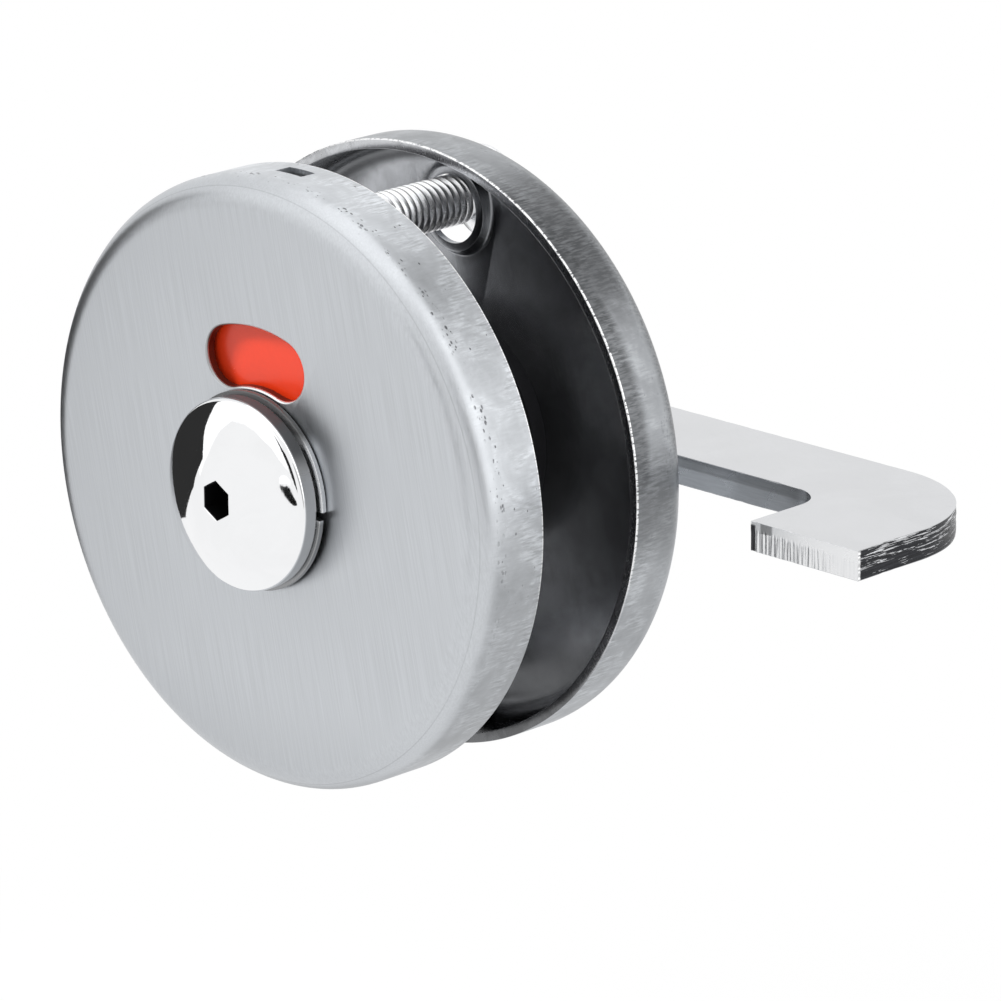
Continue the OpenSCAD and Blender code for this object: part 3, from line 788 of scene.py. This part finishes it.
for side in (1, -1):
    middle = (0.0, side * SCREW_AT + HOLE_DROP)
    combine(inner, "UNION", turn("dimple", cone, HOLE_STEPS, middle))
    combine(inner, "DIFFERENCE", turn("hole_tool", hole, HOLE_STEPS, middle))
dress(inner, "inner_unit", "inner_rose", inner_satin, at_depth(INNER_RIM, INSIDE))

# %% [markdown]
# ## Release knob
# The knob is a shallow dome on a short straight side, with a small round where they meet; that round is the
# thin bright line in any picture of it. The key socket is a six-sided pocket with a slightly broken edge.

# %% Turn the knob and cut its socket
KEY, KEY_DEPTH = 4.0, 3.8
SHANK_R, SHANK_END = 5.0, -1.0
BAR_HALF = 2.52
DOME_STEPS = 40
SIXTH = math.radians(60)
CAP_H = KNOB_TOP - KNOB_RIM
CAP_R = (KNOB_R ** 2 + CAP_H ** 2) / (2 * CAP_H)
dome_end = KNOB_R - 0.45
radii = [dome_end * i / DOME_STEPS for i in range(DOME_STEPS + 1)]
dome = [(r, KNOB_TOP - CAP_R + math.sqrt(CAP_R ** 2 - r ** 2)) for r in radii]
lip_h = dome[-1][1]
lip = [(0.17, 0.11), (0.3, 0.24), (0.39, 0.4), (0.45, 0.62)]
shank = [
    (KNOB_R, KNOB_BACK + 0.25), (KNOB_R - 0.08, KNOB_BACK + 0.08), (KNOB_R - 0.25, KNOB_BACK),
    (SHANK_R, KNOB_BACK), (SHANK_R, SHANK_END), (0.0, SHANK_END),
]
knob = turn("release_knob_dome", dome + [(dome_end + r, lip_h - h) for r, h in lip] + shank, 192)


def hexagon(flats, height):
    r = flats / 2 / math.cos(SIXTH / 2)
    angles = [SIXTH * (i + 0.5) for i in range(6)]
    return [(r * math.cos(t), r * math.sin(t), height) for t in angles]


socket_rings = [(KEY, -KEY_DEPTH), (KEY, -0.3), (KEY + 0.3, -0.05), (KEY + 0.9, 0.4)]
socket_tool = stack("socket_tool", [hexagon(flats, KNOB_TOP + up) for flats, up in socket_rings])
bar_tool = block("bar_tool", (-BAR_HALF, -BAR_HALF, SHANK_END - 1), (BAR_HALF, BAR_HALF, 10.5))
combine(knob, "DIFFERENCE", socket_tool, bar_tool)
dress(knob, "release_unit", "release_knob", knob_mirror, OUTSIDE, 20)

# %% [markdown]
# ## Spring washer
# The washer is a flat strip bent once round the shank and sprung apart at its split. A spiral with less
# than one turn is its path and a small rounded rectangle its section, so a tree makes it in a few nodes.

# %% Tree of the spring washer
WASHER_TURN = 356 / 360
WASHER_SEAT = 0.05
STRIP = 0.7
washer_tree, size = shape_tree("spring_strip", {
    "Mean radius": 8.925, "Width": 5.45, "Thickness": STRIP, "Rise": 0.4, "Turn": WASHER_TURN})


def spiral(tree, resolution, turns, r, height):
    """Path that climbs anticlockwise round the upright axis."""
    return geo(tree, "CurveSpiral", {
        "Resolution": resolution, "Rotations": turns, "Start Radius": r, "End Radius": r,
        "Height": height, "Reverse": True})


path = spiral(washer_tree, 160, size["Turn"], size["Mean radius"], size["Rise"])
strip = {"Width": size["Width"], "Height": size["Thickness"]}
strip = geo(washer_tree, "CurvePrimitiveQuadrilateral", strip, mode="RECTANGLE")
strip = geo(washer_tree, "FilletCurve", {"Curve": strip, "Radius": 0.14, "Count": 3}, mode="POLY")
close_tree(sweep(path, strip, **{"Fill Caps": True}), size["Material"])
washer = grow("spring_strip", washer_tree, sprung)
lift = Matrix.Translation((0, 0, OUTER_DEPTH + WASHER_SEAT + STRIP / 2))
dress(washer, "release_unit", "spring_washer", sprung,
      OUTSIDE @ lift @ Matrix.Rotation(math.radians(-1), 4, "Z"))

# %% [markdown]
# ## Fixing screws
# Each screw has a countersunk head with a key socket, a bare neck and a right-handed thread. The thread is a
# spiral path with a small tooth as its section. Two points then place the same screw above and below.

# %% Tree of the screw's thread and core
HEAD_OFF = 3.2
HEAD_AT = INNER_RIM + INNER_DEPTH + HEAD_OFF
RUN_OUT = 1.2
POINT_END = 0.65
OVERLAP = 0.02
ROUND_SIDES, HEAD_SIDES = 56, 72
screw_tree, size = shape_tree("threaded_screw", {
    "Radius": 3.0, "Pitch": 1.0, "Length": 30.0, "Head radius": 5.65, "Thread from": 4.0,
    "Centres": 2 * SCREW_AT, "Key": KEY})


def moved(shape, **inputs):
    return geo(shape.tree, "Transform", {"Geometry": shape, **inputs})


def raised(shape, height):
    return moved(shape, Translation=point(shape.tree, 0, 0, height))


tooth = size["Pitch"] * 0.58
core_r = size["Radius"] - tooth
run = size["Length"] - size["Thread from"] - RUN_OUT
helix = spiral(screw_tree, ROUND_SIDES, run / size["Pitch"], size["Radius"] - tooth * 0.5, run)
ridge = geo(screw_tree, "CurvePrimitiveQuadrilateral", {
    "Height": tooth + OVERLAP, "Bottom Width": size["Pitch"] * 0.9, "Top Width": size["Pitch"] * 0.16,
    "Offset": 0.0}, mode="TRAPEZOID")
ridge = moved(ridge, Rotation=(0, 0, math.radians(-90)))
thread = raised(sweep(helix, ridge, **{"Fill Caps": True}), size["Thread from"])
core_len = size["Length"] - 2.0
core = {"Vertices": ROUND_SIDES, "Radius": core_r + OVERLAP, "Depth": core_len}
core = geo(screw_tree, "MeshCylinder", core)
core = raised(core, core_len * 0.5 + 1.4)
end = geo(screw_tree, "MeshCone", {
    "Vertices": ROUND_SIDES, "Radius Top": core_r - 0.6, "Radius Bottom": core_r, "Depth": POINT_END})
end = raised(end, size["Length"] - POINT_END)

# %% Tree of the screw's head, and the pair of screws
brim_h = 0.36
head = geo(screw_tree, "MeshCone", {
    "Vertices": HEAD_SIDES, "Side Segments": 1, "Radius Top": size["Radius"] - 0.3,
    "Radius Bottom": size["Head radius"], "Depth": size["Head radius"] - size["Radius"] + 0.3})
brim = {"Vertices": HEAD_SIDES, "Radius": size["Head radius"], "Depth": brim_h}
brim = geo(screw_tree, "MeshCylinder", brim)
whole_head = add(screw_tree, "GeometryNodeMeshBoolean", operation="UNION", solver="EXACT")
for shape, height in ((head, 0.35), (brim, brim_h / 2)):
    feed(whole_head.inputs["Mesh 2"], raised(shape, height))
key = {"Vertices": 6, "Radius": size["Key"] / (2 * math.cos(SIXTH / 2)), "Depth": 4.0}
key = moved(geo(screw_tree, "MeshCylinder", key), Rotation=(0, 0, SIXTH / 2))
keyed = {"Mesh 1": take(whole_head), "Mesh 2": key}
head = geo(screw_tree, "MeshBoolean", keyed, operation="DIFFERENCE", solver="EXACT")
whole = add(screw_tree, "GeometryNodeJoinGeometry")
for shape in (head, core, end, thread):
    feed(whole.inputs[0], shape)
start = point(screw_tree, 0, size["Centres"] * -0.5)
pair = {"Count": 2, "Start Location": start, "Offset": point(screw_tree, 0, size["Centres"])}
pair = geo(screw_tree, "MeshLine", pair, mode="OFFSET")
close_tree(geo(screw_tree, "InstanceOnPoints", {"Points": pair, "Instance": take(whole)}), size["Material"])
screws = grow("threaded_screws", screw_tree, zinc)
dress(screws, "inner_unit", "fixing_screws", zinc, at_depth(HEAD_AT, OUTSIDE), 28)

# %% [markdown]
# ## Lever
# The lever is drawn as one outline of reach against depth. The outline is walked in small steps, and each
# step knows its zone. The wall is then built in thin layers: at the tip each column is torn back by its own
# amount, and round the bend each layer is. The top and bottom edges are broken unevenly, as on a punched
# plate. Everything is taken away from the plain shape, so the lever never grows out of the exact one.

# %% Walk the outline of the lever
ARM_NEAR, ARM_FAR, REACH, LEG = 13.7, 27.4, 68.2, 16.0
BEND, CORNER, ROOT = 15.7, 4.2, -7.6
QUARTER = math.pi / 2
leg_in = REACH - LEG
corner_mid = (leg_in - CORNER, ARM_NEAR - CORNER)
bend_mid = (REACH - BEND, ARM_FAR - BEND)
walk = []


def walk_line(a, b, step, zone):
    count = max(1, round(math.dist(a, b) / step))
    for i in range(count):
        walk.append((a[0] + (b[0] - a[0]) * i / count, a[1] + (b[1] - a[1]) * i / count, zone))


def walk_arc(mid, r, start, end, step, zone):
    count = max(2, round(abs(end - start) * r / step))
    for i in range(count):
        t = start + (end - start) * i / count
        walk.append((mid[0] + r * math.cos(t), mid[1] + r * math.sin(t), zone))


walk_line((ROOT, ARM_NEAR), (corner_mid[0], ARM_NEAR), 0.8, "arm")
walk_arc(corner_mid, CORNER, QUARTER, 0.0, 0.25, "arm")
walk_line((leg_in, corner_mid[1]), (leg_in, TIP), 0.4, "leg")
walk_line((leg_in, TIP), (REACH, TIP), 0.09, "tip")
walk_line((REACH, TIP), (REACH, bend_mid[1]), 0.22, "bend")
walk_arc(bend_mid, BEND, 0.0, QUARTER, 0.3, "bend")
walk_line((bend_mid[0], ARM_FAR), (ROOT, ARM_FAR), 0.8, "far")
walk_line((ROOT, ARM_FAR), (ROOT, ARM_NEAR), 2.0, "root")
print("lever outline has", len(walk), "steps")

# %% How far the lever's wall is torn and broken
LAYERS = 26


def within(value):
    return max(0.0, min(1.0, value))


def rough_at(x, y, z):
    return 0.5 + noise.noise(Vector((x, y, z)))


def torn(x, q, z, zone):
    """How far the wall is torn back at a place, in millimetres."""
    if zone == "tip":
        low = within((0.85 - z) / 0.5)
        left = max(0.25, within((66.0 - x) / 9.0))
        return 0.02 + 0.075 * low * left * rough_at(x * 3.6, 0.0, z * 0.25)
    if zone == "bend":
        return 0.03 + 0.09 * rough_at(x * 0.16, q * 0.16, z * 4.2) * within((ARM_FAR - q) / 6.0)
    return 0.01 + 0.015 * rough_at(x * 0.1, q * 0.1, z * 1.6)


def broken(x, q):
    """Width of the broken edge at a place."""
    return 0.03 + 0.16 * max(0.0, noise.noise(Vector((x * 0.9, q * 0.9, 7.0)))) ** 1.5


# %% Build the lever's wall in layers
shape = bmesh.new()
count = len(walk)
columns = []
for i, (x, q, zone) in enumerate(walk):
    before, after = walk[i - 1], walk[(i + 1) % count]
    along = Vector((after[0] - before[0], after[1] - before[1])).normalized()
    inward = Vector((-along.y, along.x))
    chip = broken(x, q)
    half = LEVER_HALF - chip
    levels = [-LEVER_HALF] + [half * (2 * k / LAYERS - 1) for k in range(LAYERS + 1)] + [LEVER_HALF]
    column = []
    for k, z in enumerate(levels):
        back = torn(x, q, z, zone) + (chip if k in (0, len(levels) - 1) else 0.0)
        spot = Vector((x, q)) + inward * back
        column.append(shape.verts.new((spot.x * MM, (INNER_RIM + spot.y) * MM, z * MM)))
    columns.append(column)
for i in range(count):
    here, there = columns[i], columns[(i + 1) % count]
    for k in range(len(here) - 1):
        shape.faces.new((here[k], there[k], there[k + 1], here[k + 1]))
for end in (0, -1):
    shape.faces.new([column[end] for column in columns])
lever = finish_shape("swing_lever", shape)
dress(lever, "lever_unit", "lever", lever_polish)

# %% [markdown]
# ## Turn post
# The post is turned from bar with a collar that bears on the inner rose. A slot across it takes the lever.

# %% Turn the post and cut its slot
POST_R, POST_ROUND, POST_START = 8.0, 1.4, 2.6
COLLAR_R, COLLAR_LOW, COLLAR_HIGH = 10.5, 9.6, 11.6
SLOT_ROOM = 0.02
SOCKET_HALF = 2.55
post_end = ARM_FAR + 0.2
post_outline = [
    (0.0, POST_START), (POST_R, POST_START), (POST_R, COLLAR_LOW), (COLLAR_R - 0.4, COLLAR_LOW),
    (COLLAR_R, COLLAR_LOW + 0.2), (COLLAR_R, COLLAR_HIGH - 0.8), (COLLAR_R - 0.24, COLLAR_HIGH - 0.24),
    (COLLAR_R - 0.8, COLLAR_HIGH), (POST_R, COLLAR_HIGH), (POST_R, post_end),
]
for i in range(1, 11):
    t = math.radians(9 * i)
    post_outline.append((POST_R + POST_ROUND * (math.cos(t) - 1), post_end + POST_ROUND * math.sin(t)))
post_outline.append((0.0, post_end + POST_ROUND))
post = turn("lever_post", post_outline, 128)
slot_half = LEVER_HALF + SLOT_ROOM
slot = block("post_tool", (-12.0, -slot_half, ARM_NEAR - SLOT_ROOM), (12.0, slot_half, ARM_FAR + SLOT_ROOM))
socket = block("post_bar_tool", (-SOCKET_HALF, -SOCKET_HALF, 0.0), (SOCKET_HALF, SOCKET_HALF, ARM_NEAR - 0.9))
combine(post, "DIFFERENCE", slot, socket)
dress(post, "lever_unit", "turn_post", turned, at_depth(INNER_RIM, INSIDE))

# %% [markdown]
# ## Camera
# The camera stands to the right of the bolt and a little above it, far enough away for a long lens. Its
# place was found by fitting the outlines of the roses and the lever, and is written here as angles and
# distances so that it can be read.

# %% Place the camera
AZIMUTH, ELEVATION, ROLL = (math.radians(v) for v in (44.943, 17.432, -0.315))
DISTANCE, ASIDE, BELOW, AIM = 710.309, 14.529, 5.343, 8.754
SENSOR, FOCAL_PIXELS, PICTURE = 36.0, 6132.648, 1001


def towards(azimuth, elevation):
    """Direction from the bolt by its angles, with azimuth 0 in front of the outer face."""
    level = math.cos(elevation)
    return Vector((math.sin(azimuth) * level, -math.cos(azimuth) * level, math.sin(elevation)))


backward = towards(AZIMUTH, ELEVATION)
level = Vector((math.cos(AZIMUTH), math.sin(AZIMUTH), 0.0))
upright = backward.cross(level)
right = level * math.cos(ROLL) + upright * math.sin(ROLL)
above = upright * math.cos(ROLL) - level * math.sin(ROLL)
lens = bpy.data.cameras.new("studio_camera")
lens.sensor_width = SENSOR
lens.lens = FOCAL_PIXELS / PICTURE * SENSOR
lens.clip_start, lens.clip_end = 0.05, 20.0
camera = add_object("studio_camera", lens)
spot = Vector((0, AIM, 0)) + backward * DISTANCE + right * ASIDE - above * BELOW
camera.matrix_world = Matrix.Translation(spot * MM) @ Matrix((right, above, backward)).transposed().to_4x4()
scene.camera = camera
print("camera at", [round(v, 3) for v in camera.location], "lens", round(lens.lens, 1))

# %% [markdown]
# ## Floor and surroundings
# The bolt hangs in a white studio. The floor lies well below it and is plain white far away; near the bolt
# the camera sees it take the light like paper, so a soft shadow stays there. Bright metal shows whatever
# surrounds it, so floor and world are plain white where metal looks at them, and the world is dimmer where
# it only lights.

# %% White floor and world
FLOOR, FLOOR_HALF = -0.2, 4
WHITE, PAPER = (1, 1, 1, 1), (0.85, 0.85, 0.85, 1)


def bare_network(owner):
    """The emptied node tree of a material or a world."""
    owner.use_nodes = True
    owner.node_tree.nodes.clear()
    return owner.node_tree


def rays(tree):
    """Whether a surface is seen by the camera, and whether it is seen in or through another one."""
    seen = add(tree, "ShaderNodeLightPath")
    mirrored = highest(take(seen, "Is Glossy Ray"), take(seen, "Is Transmission Ray"))
    return take(seen, "Is Camera Ray"), mirrored


def mix_shaders(factor, a, b, ending):
    mixed = take(add(factor.tree, "ShaderNodeMixShader", {0: factor, 1: a, 2: b}))
    feed(add(factor.tree, ending).inputs[0], mixed)


floor = block("floor", (-FLOOR_HALF, -FLOOR_HALF, FLOOR - MM), (FLOOR_HALF, FLOOR_HALF, FLOOR))
paper = bpy.data.materials.new("white_paper")
tree = bare_network(paper)
where = take(add(tree, "ShaderNodeTexCoord"), "Object")
from_middle = take(add(tree, "ShaderNodeVectorMath", {0: where}, operation="LENGTH"), "Value")
direct, mirrored = rays(tree)
plain_white = highest(direct * ramp(from_middle, 0.24, 0.45, 0.45, 1.0), mirrored)
glow = take(add(tree, "ShaderNodeEmission", {"Color": WHITE, "Strength": 1.0}))
matt = take(add(tree, "ShaderNodeBsdfDiffuse", {"Color": PAPER}))
mix_shaders(plain_white, matt, glow, "ShaderNodeOutputMaterial")
floor.data.materials.append(paper)

world = bpy.data.worlds.new("studio")
scene.world = world
tree = bare_network(world)
dim, white = (take(add(tree, "ShaderNodeBackground", {"Color": WHITE, "Strength": v})) for v in (0.55, 1.0))
mix_shaders(highest(*rays(tree)), dim, white, "ShaderNodeOutputWorld")
print("floor at", FLOOR, "and world", world.name)

# %% [markdown]
# ## Cards
# A mirror in a white room would show nothing at all. As in a real studio, cards stand all round. A dark one
# is the dark shape on the left of the knob, and two small ones and a bright blob make the spots on its right.
# One bright box makes the whiter cap of the dome, one hangs overhead, and one lights the turned edge, beside
# a grey shade that ends that light. A bright box and two grey cards behind give the skirts their shading.
# Each card is a band of stations: an angle round the bolt with a lowest and a highest angle above the ground.
# Cards are seen only in reflections.

# %% Hang the cards
def look(azimuth, elevation, distance):
    """A place round the bolt by its angles in degrees and its distance in metres."""
    return towards(math.radians(azimuth), math.radians(elevation)) * distance


def card(name, brightness, distance, stations):
    band = bpy.data.meshes.new(name)
    dots = [look(a, e, distance) for a, low, high in stations for e in (low, high)]
    faces = [(2 * i, 2 * i + 2, 2 * i + 3, 2 * i + 1) for i in range(len(stations) - 1)]
    band.from_pydata(dots, [], faces)
    cloth = bpy.data.materials.new(name)
    tree = bare_network(cloth)
    glow = take(add(tree, "ShaderNodeEmission", {"Color": WHITE, "Strength": brightness}))
    feed(add(tree, "ShaderNodeOutputMaterial").inputs[0], glow)
    band.materials.append(cloth)
    obj = add_object(name, band)
    obj.visible_camera = obj.visible_diffuse = obj.visible_shadow = False


CARDS = {
    "left_card": (0.03, 0.45, [
        (-57, -2.2, -1.2), (-59.5, -5.8, 3.5), (-62, -8.8, 8.5), (-63.5, -10.8, 25), (-66.5, -14.7, 24),
        (-76, -20.3, 17), (-88, -24.5, 8), (-98, -24, 0), (-113, -22.5, -8), (-130, -25, -15)]),
    "front_spot": (0.01, 0.7, [
        (2.3, -1.6, -0.7), (5, -6, -1.4), (7, -8.4, -0.4), (8.6, -10, -1.8), (11, -11.6, -6),
        (13.3, -11.2, -9.8)]),
    "front_blob": (1.25, 0.7, [(1.8, 0, 4), (4.5, 0.3, 5.4), (7, 0.6, 4.6), (8.6, 0, 2)]),
    "rim_wedge": (0.02, 0.7, [
        (-4, 25, 31), (0, 20.5, 30), (5, 13.5, 27), (10, 5.5, 21), (14, -1, 13), (17, -4, 5)]),
    "cap_box": (1.22, 0.75, [
        (-66, 4, 60), (-59.5, -10, 60), (-53, 1.3, 60), (-49, 12.6, 60), (-43, 20, 60), (-33, 23, 60),
        (-23.6, 23, 60), (-6.7, 18, 60), (6.6, 8, 60)]),
    "sky_box": (1.5, 0.8, [(azimuth, 60, 90) for azimuth in range(-180, 181, 30)]),
    "turn_shade": (0.45, 0.75, [(50, 22, 32), (58, 8, 34), (66, -4, 30), (74, -10, 20), (80, -10, 6)]),
    "edge_box": (1.75, 0.75, [(84, 8, 56), (92, -2, 62), (106, -5, 62), (118, -5, 50)]),
    "rear_box": (1.4, 0.5, [(116, -5, 33), (134, -6, 34), (150, -5, 30)]),
    "low_rear": (0.7, 0.2, [
        (95, -62, -12), (125, -62, -10), (160, -64, -10), (205, -66, -26), (230, -68, -36), (246, -68, -46)]),
    "high_rear": (0.42, 0.75, [(140, 40, 60), (152, 38, 64), (168, 40, 64), (184, 44, 60)]),
}
for name, values in CARDS.items():
    card(name, *values)
print("hung", len(CARDS), "cards")

# %% [markdown]
# ## Lamps
# The cards and the world give the metal its look. Two lamps light what isn't metal: the coloured face behind
# the window, the nylon, the dark films and the floor. They are hidden from reflections.

# %% Hang the lamps
def lamp(name, azimuth, elevation, distance, size, power):
    light = bpy.data.lights.new(name, "AREA")
    light.shape = "DISK"
    light.size = size
    light.energy = power
    obj = add_object(name, light)
    obj.location = look(azimuth, elevation, distance)
    obj.rotation_euler = (-obj.location).to_track_quat("-Z", "Y").to_euler()
    obj.visible_glossy = False
    print("lamp", name, [round(v, 2) for v in obj.location])


lamp("key_lamp", -60, 28, 0.9, 0.2, 7.5)
lamp("top_lamp", 60, 75, 0.9, 0.6, 4.0)

# %% [markdown]
# ## Close
# The picture shows colours as written.

# %% Show colours as written
scene.view_settings.view_transform = "Standard"
